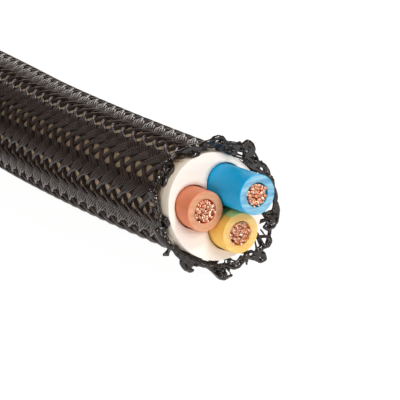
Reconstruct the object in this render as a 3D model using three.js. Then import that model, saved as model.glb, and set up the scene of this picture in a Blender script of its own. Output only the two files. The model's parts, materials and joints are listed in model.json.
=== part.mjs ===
// A black braided sleeve on a white-jacketed three-core cable: one metre of stock, cut square at one end,
// with the spare length wound in a flat coil beside the straight tail.
// Millimetres, +Z up, lying on z = 0. The cut end points along +X.
// The origin is on the floor, under the middle of the bounding box.
import * as THREE from "three";

// Conductors, their insulation and the jacket, from the inside out
const conductorDiameter = 2.1; // 2.5 square millimetres of fine copper strands
const conductorClearance = 0.1;
const insulationWall = 0.67;
const coreGap = 0.1; // between neighbouring cores
const coreClearance = 0.12; // between a core and the jacket's bore
const jacketWall = 0.6; // at its thinnest, outside a core
const jacketClearance = 0.1; // between the jacket and the sleeve

// The braided sleeve
const sleeveWall = 0.35; // two crossing filaments
const mouthFlare = 0.8; // how far the cut edge opens
const mouthShift = 0.35; // the open edge hangs off centre, towards +Y

// How far each piece stands out, and how the jacket's cut face leans
const jacketProtrusion = 1.3; // past the sleeve's mouth
const faceLeanY = 0.059; // millimetres along X for each millimetre along Y
const faceLeanZ = -0.197;
const firstCoreClock = 54; // degrees, seen from the cut end, from +Y towards +Z
const cores = [
  { name: "blue", protrusion: 4.9, lift: 0.15, colour: 0x0a8fc4 },
  { name: "brown", protrusion: 1.8, lift: 0, colour: 0xb8705a },
  { name: "green_yellow", protrusion: 2.2, lift: 0, colour: 0xf0c060 },
];

// The way it lies, in plan
const cableLength = 1000; // of the sleeve, along its centre line
const coilInnerRadius = 45; // the tightest bend, to the centre line
const turnGap = 0.5; // between neighbouring turns
const stationsPerTurn = 16;
// From the mouth backwards: straight, a slow bow towards +Y, then level where the coil begins.
// The third number is how far the open, lumpy edge props the cable up.
const tailPoints = [
  [0, 0, 1.2],
  [-1.5, 0, 1.2],
  [-4, 0, 1.2],
  [-12, 0.3, 1.13],
  [-22, 1.18, 0.92],
  [-32, 2.55, 0.62],
  [-42, 4.35, 0.33],
  [-54, 6.1, 0.1],
  [-66, 7, 0],
  [-78, 7.2, 0],
];

// Sides of each round section
const outerSides = 16;
const coreSides = 8;
const boreSidesPerCore = 9;

// Sizes that follow
const conductorRadius = conductorDiameter / 2;
const insulationBore = conductorRadius + conductorClearance;
const coreRadius = insulationBore + insulationWall;
const coreCircle = (coreRadius + coreGap / 2) / Math.sin(Math.PI / cores.length);
const jacketBore = coreRadius + coreClearance;
const jacketRadius = coreCircle + jacketBore + jacketWall;
const sleeveBore = jacketRadius + jacketClearance;
const sleeveRadius = sleeveBore + sleeveWall;
const mouthHeight = sleeveRadius + tailPoints[0][2]; // of the cable's centre line

const fullTurn = 2 * Math.PI;

// Points on an arc, both ends included.
function arc(centre, radius, from, to, steps) {
  return Array.from({ length: steps + 1 }, (_, i) => {
    const angle = from + ((to - from) * i) / steps;
    return new THREE.Vector2(centre.x + radius * Math.cos(angle), centre.y + radius * Math.sin(angle));
  });
}

// A round outline with a flat at the bottom, the top and each side, measured across its flats.
function acrossFlats(radius, sides) {
  const half = Math.PI / sides;
  const points = arc(new THREE.Vector2(0, 0), radius / Math.cos(half), half, fullTurn + half, sides);
  return points.slice(0, -1);
}

// A round outline whose corners lie on the circle.
function acrossCorners(centre, radius, sides) {
  return arc(centre, radius, 0, fullTurn, sides).slice(0, -1);
}

// Sections are drawn with x downwards and y to the right, as seen from the cut end.
function coreCentre(index) {
  const clock = THREE.MathUtils.degToRad(firstCoreClock) + (fullTurn * index) / cores.length;
  return new THREE.Vector2(-coreCircle * Math.sin(clock), coreCircle * Math.cos(clock));
}

// The jacket's bore follows the cores that it was extruded round: one arc outside each core.
function jacketBoreOutline() {
  const halfSpacing = coreCircle * Math.sin(Math.PI / cores.length);
  const meeting = Math.acos(Math.min(1, halfSpacing / jacketBore));
  const halfArc = Math.PI / 2 + Math.PI / cores.length - meeting;
  return cores.flatMap((core, index) => {
    const centre = coreCentre(index);
    const outwards = centre.angle();
    return arc(centre, jacketBore, outwards - halfArc, outwards + halfArc, boreSidesPerCore).slice(0, -1);
  });
}

// The coil is a flat spiral whose outer end meets the tail and whose inner end is the far end of the cable.
function coilStations(start, length) {
  const pitch = 2 * sleeveRadius + turnGap;
  const rise = pitch / fullTurn; // radius gained for each radian
  const sweep = (Math.sqrt(coilInnerRadius ** 2 + 2 * rise * length) - coilInnerRadius) / rise;
  const step = fullTurn / stationsPerTurn;
  const chordToArc = step / 2 / Math.sin(step / 2); // keeps the chords as long as the arcs they stand for
  const outerRadius = (coilInnerRadius + rise * sweep) * chordToArc;
  const centre = new THREE.Vector2(start.x, start.y - outerRadius);
  const wholeSteps = Math.max(1, Math.round(sweep / step));
  return Array.from({ length: wholeSteps }, (_, i) => {
    const turned = i + 1 < wholeSteps ? (i + 1) * step : sweep;
    const radius = (coilInnerRadius + rise * (sweep - turned)) * chordToArc;
    const angle = Math.PI / 2 + turned;
    return new THREE.Vector2(centre.x + radius * Math.cos(angle), centre.y + radius * Math.sin(angle));
  });
}

// The centre line's stations, from the far end to the mouth.
function cableStations() {
  const tail = tailPoints.map(([x, y, rise]) => new THREE.Vector3(x, y, sleeveRadius + rise));
  const tailLength = tail.slice(1).reduce((sum, point, i) => sum + point.distanceTo(tail[i]), 0);
  const coil = coilStations(tail[tail.length - 1], cableLength - tailLength);
  return [...tail, ...coil.map((p) => new THREE.Vector3(p.x, p.y, sleeveRadius))].reverse();
}

// A route that gives exactly its own stations, with each section square to the bend between two chords.
class Route extends THREE.Curve {
  constructor(stations) {
    super();
    this.stations = stations;
  }
  index(u) {
    return Math.round(u * (this.stations.length - 1));
  }
  getPointAt(u) {
    return this.stations[this.index(u)].clone();
  }
  getTangentAt(u) {
    const i = this.index(u);
    const here = this.stations[i];
    const before = this.stations[Math.max(0, i - 1)];
    const after = this.stations[Math.min(this.stations.length - 1, i + 1)];
    const arriving = here.clone().sub(before).normalize();
    const leaving = after.clone().sub(here).normalize();
    return arriving.add(leaving).normalize();
  }
}

const commonStations = cableStations();

// A piece with one section all along the cable, on past the mouth through the points in reach.
function alongCable(outline, holes, reach) {
  const shape = new THREE.Shape(outline);
  shape.holes = holes.map((hole) => new THREE.Path(hole));
  const beyond = reach.map((x) => new THREE.Vector3(x, 0, mouthHeight));
  const stations = [...commonStations, ...beyond];
  return new THREE.ExtrudeGeometry(shape, {
    steps: stations.length - 1,
    extrudePath: new Route(stations),
    bevelEnabled: false,
  });
}

// Moves the corners of the cut end at x = endX.
function reshapeEnd(geometry, endX, move) {
  const tolerance = 1e-3;
  const position = geometry.getAttribute("position");
  const corner = new THREE.Vector3();
  for (let i = 0; i < position.count; i += 1) {
    corner.fromBufferAttribute(position, i);
    if (Math.abs(corner.x - endX) < tolerance) {
      move(corner);
      position.setXYZ(i, corner.x, corner.y, corner.z);
    }
  }
  return geometry;
}

// Where the jacket's leaning cut face crosses a line along X.
function jacketFaceAt(y, z) {
  return jacketProtrusion + faceLeanY * y + faceLeanZ * (z - mouthHeight);
}

function coreEnd(index) {
  const centre = coreCentre(index);
  return jacketFaceAt(centre.y, mouthHeight - centre.x) + cores[index].protrusion;
}

// The mouth opens all round, off centre, and rests on the floor.
function sleeveGeometry() {
  const geometry = alongCable(acrossFlats(sleeveRadius, outerSides), [acrossFlats(sleeveBore, outerSides)], []);
  const openHeight = sleeveRadius + mouthFlare * Math.cos(Math.PI / outerSides);
  return reshapeEnd(geometry, 0, (corner) => {
    const fromAxis = Math.hypot(corner.y, corner.z - mouthHeight);
    const grown = (fromAxis + mouthFlare) / fromAxis;
    corner.y = mouthShift + corner.y * grown;
    corner.z = openHeight + (corner.z - mouthHeight) * grown;
  });
}

function jacketGeometry() {
  const geometry = alongCable(acrossFlats(jacketRadius, outerSides), [jacketBoreOutline()], [jacketProtrusion]);
  return reshapeEnd(geometry, jacketProtrusion, (corner) => {
    corner.x = jacketFaceAt(corner.y, corner.z);
  });
}

// A core stays in line with the cable as far as the jacket's face, and its free end may lift a little.
function coreGeometry(index, radius, bore) {
  const centre = coreCentre(index);
  const end = coreEnd(index);
  const outline = acrossCorners(centre, radius, coreSides);
  const holes = bore > 0 ? [acrossCorners(centre, bore, coreSides)] : [];
  const geometry = alongCable(outline, holes, [end - cores[index].protrusion, end]);
  return reshapeEnd(geometry, end, (corner) => {
    corner.z += cores[index].lift;
  });
}

function piece(name, geometry, material) {
  const mesh = new THREE.Mesh(geometry, material);
  mesh.name = name;
  return mesh;
}

const monofilament = new THREE.MeshStandardMaterial({ color: 0x2b2628, roughness: 0.4, metalness: 0 });
const whiteVinyl = new THREE.MeshStandardMaterial({ color: 0xfbf8f5, roughness: 0.6, metalness: 0 });
const copper = new THREE.MeshStandardMaterial({ color: 0xd98f74, roughness: 0.35, metalness: 1 });

const cable = new THREE.Group();
cable.add(piece("braided_sleeve", sleeveGeometry(), monofilament));
cable.add(piece("cable_jacket", jacketGeometry(), whiteVinyl));
cores.forEach((core, index) => {
  const vinyl = new THREE.MeshStandardMaterial({ color: core.colour, roughness: 0.5, metalness: 0 });
  cable.add(piece(`core_insulation_${core.name}`, coreGeometry(index, coreRadius, insulationBore), vinyl));
  cable.add(piece(`conductor_${core.name}`, coreGeometry(index, conductorRadius, 0), copper));
});

// The whole is put over the origin by the middle of its bounding box.
const bounds = new THREE.Box3().setFromObject(cable);
const middle = bounds.getCenter(new THREE.Vector3());
cable.position.set(-middle.x, -middle.y, -bounds.min.z);

export default cable;
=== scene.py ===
"""A black braided sleeve on a white three-core cable, cut at one end, its spare length in a flat coil."""
import bisect
import json
import math
import random

import bmesh
import bpy
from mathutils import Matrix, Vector

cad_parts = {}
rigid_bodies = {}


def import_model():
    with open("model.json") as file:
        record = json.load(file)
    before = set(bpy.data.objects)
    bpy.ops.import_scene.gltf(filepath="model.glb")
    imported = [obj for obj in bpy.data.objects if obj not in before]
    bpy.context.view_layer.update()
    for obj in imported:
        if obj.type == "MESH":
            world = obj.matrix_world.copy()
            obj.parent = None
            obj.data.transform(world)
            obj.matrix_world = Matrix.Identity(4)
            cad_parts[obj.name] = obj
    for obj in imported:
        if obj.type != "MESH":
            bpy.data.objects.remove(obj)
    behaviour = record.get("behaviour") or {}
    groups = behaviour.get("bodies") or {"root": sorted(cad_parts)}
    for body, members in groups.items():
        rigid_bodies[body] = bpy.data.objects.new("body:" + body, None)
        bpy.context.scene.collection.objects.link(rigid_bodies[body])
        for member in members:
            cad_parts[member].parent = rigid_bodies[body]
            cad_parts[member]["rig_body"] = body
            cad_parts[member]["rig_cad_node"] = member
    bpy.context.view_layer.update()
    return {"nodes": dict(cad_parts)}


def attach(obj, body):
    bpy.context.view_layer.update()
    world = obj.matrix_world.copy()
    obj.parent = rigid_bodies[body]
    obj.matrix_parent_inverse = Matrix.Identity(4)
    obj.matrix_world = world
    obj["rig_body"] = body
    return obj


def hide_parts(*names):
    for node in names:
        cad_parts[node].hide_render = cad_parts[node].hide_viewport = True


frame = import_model()

bl_info = {
    "name": "Braided cable sleeve",
    "version": (1, 0, 0),
    "blender": (4, 5, 0),
    "location": "3D View > Sidebar > Sleeve",
    "description": "Builds a braided sleeve on a three-core cable round its packed solids",
    "category": "Object",
}

MM = 0.001
FULL_TURN = 2 * math.pi

# The route, in millimetres, as the solids have it: back from the mouth, sideways, and up off the floor
TAIL = (
    (0, 0, 1.2),
    (-1.5, 0, 1.2),
    (-4, 0, 1.2),
    (-12, 0.3, 1.13),
    (-22, 1.18, 0.92),
    (-32, 2.55, 0.62),
    (-42, 4.35, 0.33),
    (-54, 6.1, 0.1),
    (-66, 7, 0),
    (-78, 7.2, 0),
)
SLEEVE_RADIUS = 5.149
JACKET_PROTRUSION = 1.3
MOUTH_SHIFT = 0.35
CABLE_LENGTH = 1000
COIL_INNER_RADIUS = 45
TURN_GAP = 0.5
LEAD_IN = 10  # the route starts this far ahead of the jacket's face
COIL_STEPS = 120  # points in a turn

# The cores, by the clock from +Y towards +Z, seen from the cut end
CORE_CLOCKS = {"blue": 54, "brown": 174, "green_yellow": 294}
CORE_CIRCLE = 2.159
CORE_BORE = 1.1
JACKET_BORE = 1.94  # of the arc round each core
ROD_RADIUS = 1.0  # of a conductor between its two ends' strands
STRIPE = (72, 125)  # degrees round the earth core, from its side towards its top
FACE_LEAN_Y = 0.059
FACE_LEAN_Z = -0.197

VECTOR = "ShaderNodeVectorMath"


def linear(code, alpha=1.0):
    """An sRGB hex colour as a linear one."""
    parts = [int(code[i : i + 2], 16) / 255 for i in (1, 3, 5)]
    return tuple(c / 12.92 if c <= 0.04045 else ((c + 0.055) / 1.055) ** 2.4 for c in parts) + (alpha,)


def end_of(node):
    """The middle of a CAD node's end on the +X side."""
    corners = [v.co for v in frame["nodes"][node].data.vertices]
    last = max(c.x for c in corners)
    rim = [c for c in corners if c.x > last - 0.00001]
    low = Vector([min(c[i] for c in rim) for i in range(3)])
    high = Vector([max(c[i] for c in rim) for i in range(3)])
    return (low + high) / 2


def neighbours(points, i):
    return points[max(0, i - 1)], points[min(len(points) - 1, i + 1)]


class Route:
    """The cable's centre line; s is metres back from the middle of the jacket's cut face."""

    def __init__(self):
        sleeve_end = end_of("braided_sleeve")
        height = (SLEEVE_RADIUS + TAIL[0][2]) * MM
        self.mouth = Vector((sleeve_end.x, sleeve_end.y - MOUTH_SHIFT * MM, height))
        self.face = self.mouth + Vector((JACKET_PROTRUSION * MM, 0, 0))
        ahead = [self.face + Vector((i * MM, 0, 0)) for i in range(LEAD_IN, 0, -1)]
        tail = self.tail()
        self.points = ahead + [self.face] + tail + self.coil(tail[-1])
        self.lengths = [0.0]
        for here, there in zip(self.points, self.points[1:]):
            self.lengths.append(self.lengths[-1] + (there - here).length)
        self.end = self.lengths[-1] - LEAD_IN * MM

    def tail(self):
        floor = Vector((self.mouth.x, self.mouth.y, SLEEVE_RADIUS * MM))
        knots = [floor + Vector(row) * MM for row in TAIL]
        slopes = []
        for i in range(len(knots)):
            before, after = neighbours(knots, i)
            slopes.append((after - before) / abs(after.x - before.x))
        slopes[0] = slopes[1] = slopes[-1] = Vector((-1, 0, 0))
        points = []
        for i, (start, stop) in enumerate(zip(knots, knots[1:])):
            span = abs(stop.x - start.x)
            steps = max(1, round(span / MM))
            for j in range(steps):
                t = j / steps
                points.append(
                    start * (2 * t**3 - 3 * t**2 + 1)
                    + slopes[i] * span * (t**3 - 2 * t**2 + t)
                    + stop * (3 * t**2 - 2 * t**3)
                    + slopes[i + 1] * span * (t**3 - t**2)
                )
        return points + [knots[-1]]

    def coil(self, start):
        tail_length = sum(math.dist(a, b) for a, b in zip(TAIL, TAIL[1:]))
        rise = (2 * SLEEVE_RADIUS + TURN_GAP) / FULL_TURN
        inner = COIL_INNER_RADIUS
        sweep = (math.sqrt(inner**2 + 2 * rise * (CABLE_LENGTH - tail_length)) - inner) / rise
        centre = start - Vector((0, (inner + rise * sweep) * MM, 0))
        steps = round(sweep / FULL_TURN * COIL_STEPS)
        points = []
        for i in range(1, steps + 1):
            turned = sweep * i / steps
            radius = (inner + rise * (sweep - turned)) * MM
            angle = math.pi / 2 + turned
            points.append(centre + Vector((radius * math.cos(angle), radius * math.sin(angle), 0)))
        return points

    def place(self, s, y=0.0, z=0.0):
        """The point y to the side and z up from the centre line at s."""
        along = min(max(s + LEAD_IN * MM, 0.0), self.lengths[-1] - 1e-9)
        low = bisect.bisect_right(self.lengths, along) - 1
        high = low + 1
        t = (along - self.lengths[low]) / (self.lengths[high] - self.lengths[low])
        here = self.points[low].lerp(self.points[high], t)
        tangent = self.direction(low).lerp(self.direction(high), t).normalized()
        side = tangent.cross(Vector((0, 0, 1))).normalized()
        return here + side * y + side.cross(tangent) * z

    def direction(self, i):
        before, after = neighbours(self.points, i)
        return (after - before).normalized()


ROUTE = Route()


def core_centre(name):
    clock = math.radians(CORE_CLOCKS[name])
    return CORE_CIRCLE * MM * math.cos(clock), CORE_CIRCLE * MM * math.sin(clock)


def free_end(name, node):
    """A core's centre, how far back its node ends, and how far its free end lifts."""
    end = end_of(node)
    y, z = core_centre(name)
    return y, z, ROUTE.face.x - end.x, end.z - (ROUTE.face.z + z)


def add(tree, kind, *inputs, **settings):
    """Adds a node with its settings, and fills or links its inputs, in order or by name in a dict.

    A kind in capitals is an operation of the maths node. A node stands for its first output in use.
    """
    if kind.isupper():
        kind, settings = "ShaderNodeMath", {"operation": kind}
    node = tree.nodes.new(kind)
    for key, value in settings.items():
        setattr(node, key, value)
    if inputs and isinstance(inputs[0], dict):
        filled = [(node.inputs[key], value) for key, value in inputs[0].items()]
    else:
        filled = zip([socket for socket in node.inputs if socket.enabled], inputs)
    for socket, value in filled:
        if isinstance(value, bpy.types.Node):
            value = next(output for output in value.outputs if output.enabled)
        if isinstance(value, bpy.types.NodeSocket):
            tree.links.new(value, socket)
        else:
            socket.default_value = value
    return node


def new_material(name):
    """A material and its tree, still empty."""
    material = bpy.data.materials.new(name)
    material.use_nodes = True
    material.node_tree.nodes.clear()
    return material, material.node_tree


def finished(material, inputs):
    """The material, its surface a principled shader with these inputs."""
    shader = add(material.node_tree, "ShaderNodeBsdfPrincipled", inputs)
    add(material.node_tree, "ShaderNodeOutputMaterial", {"Surface": shader})
    return material


def ramp(tree, factor, stops):
    """A colour ramp through (place, hex colour) stops."""
    node = add(tree, "ShaderNodeValToRGB", factor)
    elements = node.color_ramp.elements
    for i, (place, code) in enumerate(stops):
        element = elements[i] if i < 2 else elements.new(place)
        element.position = place
        element.color = linear(code)
    return node


def monofilament():
    """Polyester monofilament, drawn: near black and smooth, so each filament carries a thin bright line."""
    material, tree = new_material("black polyester monofilament")
    place = add(tree, "ShaderNodeTexCoord").outputs["Object"]
    # Browner and blacker patches of about a millimetre
    patches = add(tree, "ShaderNodeTexNoise", {"Vector": place, "Scale": 900.0, "Detail": 3.0})
    colour = ramp(tree, patches, ((0.35, "#2e231e"), (0.7, "#42342e")))
    return finished(material, {"Base Color": colour, "Roughness": 0.3, "IOR": 1.52})


def ribbon_finish():
    """The same monofilament, five side by side: fine grooves between them break the shine into lines."""
    material, tree = new_material("black polyester monofilament ribbons")
    across = add(tree, "ShaderNodeAttribute", attribute_name="across").outputs["Fac"]
    wave = add(tree, "MULTIPLY", across, 5 * math.pi)
    grooves = add(tree, "COSINE", wave)
    ridges = {"Height": grooves, "Strength": 1.0, "Distance": 0.00006}
    raised = add(tree, "ShaderNodeBump", ridges, invert=True)
    return finished(
        material, {"Base Color": linear("#2d2420"), "Roughness": 0.36, "IOR": 1.45, "Normal": raised}
    )


def melted_polyester():
    """Polyester that melted under a hot blade and set again: glossy beads with small pits."""
    material, tree = new_material("melted black polyester")
    place = add(tree, "ShaderNodeTexCoord").outputs["Object"]
    # Pits and swellings of about 0.7 mm
    lumps = add(tree, "ShaderNodeTexNoise", {"Vector": place, "Scale": 1500.0, "Detail": 0.0})
    raised = add(tree, "ShaderNodeBump", {"Height": lumps, "Strength": 0.8, "Distance": 0.0002})
    colour = ramp(tree, lumps, ((0.3, "#170f0c"), (0.75, "#251b17")))
    return finished(material, {"Base Color": colour, "Roughness": 0.13, "IOR": 1.6, "Normal": raised})


def jacket_vinyl():
    """Flexible PVC: extruded skin painted creamy for the warm shade on its side and browner under the sleeve
    for the sleeve's shade, and a whiter matt cut, knife-streaked.
    """
    material, tree = new_material("white flexible PVC")
    place = add(tree, "ShaderNodeTexCoord").outputs["Object"]
    leaning = {"Vector": place, "Rotation": (math.radians(-35), 0, 0), "Scale": (1, 0.12, 1)}
    turned = add(tree, "ShaderNodeMapping", leaning)
    # Streaks of about 0.6 mm, coarser than a knife's, so that they show
    streaks = add(tree, "ShaderNodeTexNoise", {"Vector": turned, "Scale": 1600.0, "Detail": 5.0})
    face = ramp(tree, streaks, ((0.3, "#f3e9e0"), (0.7, "#f9f1e9")))
    # Painted shade: the bare skin is painted creamier than the cut for the warm shade on the jacket's side,
    # and browner where the sleeve covers it for the sleeve's shade on it
    covered = add(tree, "ShaderNodeAttribute", attribute_name="covered").outputs["Fac"]
    cut_amount = add(tree, "ShaderNodeAttribute", attribute_name="cut").outputs["Fac"]
    skin = add(tree, "ShaderNodeMix", covered, linear("#f2e4d0"), linear("#b49d82"), data_type="RGBA")
    colour = add(tree, "ShaderNodeMix", cut_amount, skin, face, data_type="RGBA")
    raised = add(tree, "ShaderNodeBump", {"Height": streaks, "Strength": 0.35, "Distance": 0.00004})
    return finished(material, {"Base Color": colour, "Roughness": 0.55, "IOR": 1.53, "Normal": raised})


def core_vinyl(name, side, cut, stripe=None):
    """Soft PVC insulation, extruded: satin sides, and a paler cut face with knife streaks."""
    material, tree = new_material(name)
    place = add(tree, "ShaderNodeTexCoord").outputs["Object"]
    turned = add(tree, "ShaderNodeMapping", {"Vector": place, "Scale": (1, 0.15, 1)})
    # Streaks of about 0.4 mm, coarser than a knife's, so that they show
    streaks = add(tree, "ShaderNodeTexNoise", {"Vector": turned, "Scale": 2600.0, "Detail": 4.0})
    cut_amount = add(tree, "ShaderNodeAttribute", attribute_name="cut").outputs["Fac"]
    cut_colour = ramp(tree, streaks, ((0.3, cut[0]), (0.7, cut[1])))
    sides = linear(side)
    if stripe:
        striped = add(tree, "ShaderNodeAttribute", attribute_name="stripe").outputs["Fac"]
        sides = add(tree, "ShaderNodeMix", striped, sides, linear(stripe), data_type="RGBA")
    colour = add(tree, "ShaderNodeMix", cut_amount, sides, cut_colour, data_type="RGBA")
    depth = add(tree, "MULTIPLY", cut_amount, streaks)
    raised = add(tree, "ShaderNodeBump", {"Height": depth, "Strength": 0.5, "Distance": 0.00006})
    return finished(
        material,
        {
            "Base Color": colour,
            "Roughness": 0.45,
            "IOR": 1.4,
            "Subsurface Weight": 0.5,
            "Subsurface Radius": (1.0, 0.8, 0.6),
            "Subsurface Scale": 0.0008,
            "Normal": raised,
        },
    )


def copper():
    """Soft bare copper, drawn fine and sheared off: pink-orange, each wire a little brighter or duller, with
    near-white spots that are painted glints.
    """
    material, tree = new_material("bare copper strands")
    place = add(tree, "ShaderNodeTexCoord").outputs["Object"]
    # Bright and dull spots of about 0.3 mm, the width of a strand; the brightest, near white, are painted
    # glints
    tone_and_glints = add(tree, "ShaderNodeTexNoise", {"Vector": place, "Scale": 3500.0, "Detail": 3.0})
    colour = ramp(tree, tone_and_glints, ((0.3, "#d07e5e"), (0.5, "#f0b392"), (0.7, "#fff1e2")))
    raised = add(tree, "ShaderNodeBump", {"Height": tone_and_glints, "Strength": 0.6, "Distance": 0.00006})
    return finished(material, {"Base Color": colour, "Roughness": 0.32, "Metallic": 1.0, "Normal": raised})


def studio_floor():
    """Seamless white backdrop paper: matt, with no marks."""
    material, _ = new_material("white backdrop paper")
    return finished(
        material,
        {
            "Base Color": linear("#6e6e6e"),
            "Roughness": 0.9,
            "Specular IOR Level": 0.0,
            "Emission Color": (1, 1, 1, 1),
            "Emission Strength": 0.96,
        },
    )


def link(name, data):
    """A new object in the scene."""
    thing = bpy.data.objects.new(name, data)
    bpy.context.scene.collection.objects.link(thing)
    return thing


def settle(name, mesh, replaced=()):
    """A piece that rides on the cable's one body."""
    piece = link(name, mesh)
    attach(piece, "root")
    if replaced:
        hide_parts(*replaced)
    return piece


def mesh_piece(name, vertices, faces, material, replaced):
    """A smooth-shaded piece from its vertices and faces."""
    mesh = bpy.data.meshes.new(name)
    mesh.from_pydata([tuple(v) for v in vertices], [], faces)
    mesh.materials.append(material)
    mesh.shade_smooth()
    mesh.update()
    return settle(name, mesh, replaced)


def mark(mesh, name, values):
    """Gives each vertex its own number."""
    mesh.attributes.new(name, "FLOAT", "POINT").data.foreach_set("value", values)


def band(here, there, count):
    """Faces between two rings of vertices, which start at here and there."""
    pairs = [(j, (j + 1) % count) for j in range(count)]
    return [(here + j, there + j, there + after, here + after) for j, after in pairs]


def closed_sweep(rings):
    """Vertices and faces of a closed shell through rings of (s, y, z) points; the last meets the first."""
    count = len(rings[0])
    vertices = [ROUTE.place(*point) for ring in rings for point in ring]
    faces = []
    for i in range(len(rings)):
        faces += band(i * count, (i + 1) % len(rings) * count, count)
    return vertices, faces


def circle(radius, centre, count):
    angles = [FULL_TURN * i / count for i in range(count)]
    return [(centre[0] + radius * math.cos(a), centre[1] + radius * math.sin(a)) for a in angles]


def rounded(radius, rounding):
    """How far back and from the middle, in steps round the edge of a cut end."""
    turns = [math.pi / 2 * step / 4 for step in range(5)]
    return [(rounding * (1 - math.cos(t)), radius - rounding + rounding * math.sin(t)) for t in turns]


def long_stations(start, stop):
    """Places along the cable between its ends, closer together on the tail."""
    fine, coarse, tail_end = 1.5 * MM, 4 * MM, 84 * MM
    places = []
    s = start
    while s < stop - coarse:
        places.append(s)
        s += fine if s < tail_end else coarse
    return places


def route_curve():
    """The centre line as a curve, for the trees that follow it."""
    data = bpy.data.curves.new("route", "CURVE")
    data.dimensions = "3D"
    spline = data.splines.new("POLY")
    spline.points.add(len(ROUTE.points) - 1)
    for point, place in zip(spline.points, ROUTE.points):
        point.co = (*place, 1)
    link("route", data)


def new_tree(name, inputs):
    """A geometry tree with named inputs: (name, socket kind, default)."""
    tree = bpy.data.node_groups.new(name, "GeometryNodeTree")
    tree.interface.new_socket("Geometry", in_out="INPUT", socket_type="NodeSocketGeometry")
    tree.interface.new_socket("Geometry", in_out="OUTPUT", socket_type="NodeSocketGeometry")
    for label, kind, default in inputs:
        socket = tree.interface.new_socket(label, in_out="INPUT", socket_type="NodeSocket" + kind)
        if default is not None:
            socket.default_value = default
    return tree, add(tree, "NodeGroupInput").outputs


def grow(tree, values, data=None):
    """Runs a tree on a passing object and returns the plain mesh that it makes."""
    passing = link("passing", data or bpy.data.meshes.new("none"))
    modifier = passing.modifiers.new(tree.name, "NODES")
    modifier.node_group = tree
    for item in tree.interface.items_tree:
        if item.in_out == "INPUT" and item.name in values:
            modifier[item.identifier] = values[item.name]
    passing.update_tag()
    evaluated = passing.evaluated_get(bpy.context.evaluated_depsgraph_get())
    mesh = bpy.data.meshes.new_from_object(evaluated)
    passing.modifiers.remove(modifier)
    bpy.data.objects.remove(passing)
    return mesh


def largest_part(mesh):
    """The mesh without the specks that don't touch its largest part."""
    shape = bmesh.new()
    shape.from_mesh(mesh)
    unseen = set(shape.verts)
    parts = []
    while unseen:
        part = [unseen.pop()]
        for vertex in part:
            near = {edge.other_vert(vertex) for edge in vertex.link_edges} & unseen
            unseen -= near
            part.extend(near)
        parts.append(part)
    parts.sort(key=len)
    bmesh.ops.delete(shape, geom=[v for part in parts[:-1] for v in part], context="VERTS")
    shape.to_mesh(mesh)
    shape.free()
    return mesh


def along_route(tree, given, s):
    """Sockets of the point, side and up of the centre line at s."""
    route = add(tree, "GeometryNodeObjectInfo", {"Object": given["Route"]}).outputs["Geometry"]
    length = add(tree, "ADD", s, LEAD_IN * MM)
    sample = add(tree, "GeometryNodeSampleCurve", {"Curves": route, "Length": length}, mode="LENGTH")
    tangent = sample.outputs["Tangent"]
    across = add(tree, VECTOR, tangent, (0, 0, 1), operation="CROSS_PRODUCT")
    side = add(tree, VECTOR, across, operation="NORMALIZE")
    up = add(tree, VECTOR, side, tangent, operation="CROSS_PRODUCT")
    return sample.outputs["Position"], side, up


def numbered_lines(tree, count, points):
    """Lines of so many points, one for each strand, with the strand's number and the share of its length."""
    line = add(tree, "GeometryNodeCurvePrimitiveLine", {"Start": (0, 0, 0), "End": (1, 0, 0)})
    spaced = add(tree, "GeometryNodeResampleCurve", {"Curve": line, "Count": points})
    starts = add(tree, "GeometryNodePoints", {"Count": count})
    number = add(tree, "GeometryNodeInputIndex")
    stored = {"Geometry": starts, "Name": "strand", "Value": number}
    numbered = add(tree, "GeometryNodeStoreNamedAttribute", stored, data_type="FLOAT", domain="POINT")
    placed = add(tree, "GeometryNodeInstanceOnPoints", {"Points": numbered, "Instance": spaced})
    lines = add(tree, "GeometryNodeRealizeInstances", {"Geometry": placed})
    strand = add(tree, "GeometryNodeInputNamedAttribute", {"Name": "strand"}, data_type="FLOAT")
    return lines, strand, add(tree, "GeometryNodeSplineParameter").outputs["Factor"]


def finish_tree(tree, skin, material):
    """Shades what a tree has made smooth, makes it real and gives it its material."""
    smooth = add(tree, "GeometryNodeSetShadeSmooth", {0: skin, "Shade Smooth": True})
    real = add(tree, "GeometryNodeRealizeInstances", {"Geometry": smooth})
    made = add(tree, "GeometryNodeSetMaterial", {"Geometry": real, "Material": material})
    add(tree, "NodeGroupOutput", made)
    return tree


# The defaults are those of the filaments that are drawn one by one
BRAID_INPUTS = (
    ("Route", "Object", None),
    ("Carriers", "Int", 20),
    ("Filaments", "Int", 5),
    ("Hand", "Float", 1.0),
    ("Points", "Int", 150),
    ("From", "Float", 0.0),
    ("To", "Float", 0.052),
    ("Lead", "Float", 0.03706),
    ("Start angle", "Float", 0.0),
    ("Crossing angle", "Float", 0.0),
    ("Middle radius", "Float", 0.0049),
    ("Wave", "Float", 0.00009),
    ("Crown", "Float", 0.00002),
    ("Filament pitch", "Float", 0.00023),
    ("Pinch", "Float", 0.86),
    ("Width", "Float", 0.0002),
    ("Height", "Float", 0.00015),
    ("Disorder", "Float", 0.00002),
    ("Flare", "Float", 0.95),
    ("Seed", "Int", 1),
    ("Sides", "Int", 5),
    ("Material", "Material", None),
)
UNEVEN_CUT = 0.00025  # of the filaments' ends
AT_EDGE = 0.01  # strands that start nearer than this begin at the melted edge
JUMBLE_STEPS = (3.7, 330.0)  # noise periods from strand to strand and for each metre
FLARE_FADE = -950.0  # for each metre back from the edge
WIDE_OPEN = 0.0009
STRING_WIDTH = 0.15  # of its ribbon's, where the mouth is wide open
DRAW_SHARPNESS = 1.3
DRAW_SCALE = 0.54
WEAVE_SHARPNESS = 2.5
PILE_HEIGHT = 0.00015  # between filaments that are drawn over one another
NEVER_ZERO = 0.001  # keeps a ribbon of one filament from a division by nothing
CORNER_REACH = 0.433  # of a three-sided section's corners, as a share of its width
START_CLOCK = 51.9  # of the first crossing on the camera's side, in degrees
START_BACK = 0.00573  # of that crossing
CROSSING_CLOCK = 20.4

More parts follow.
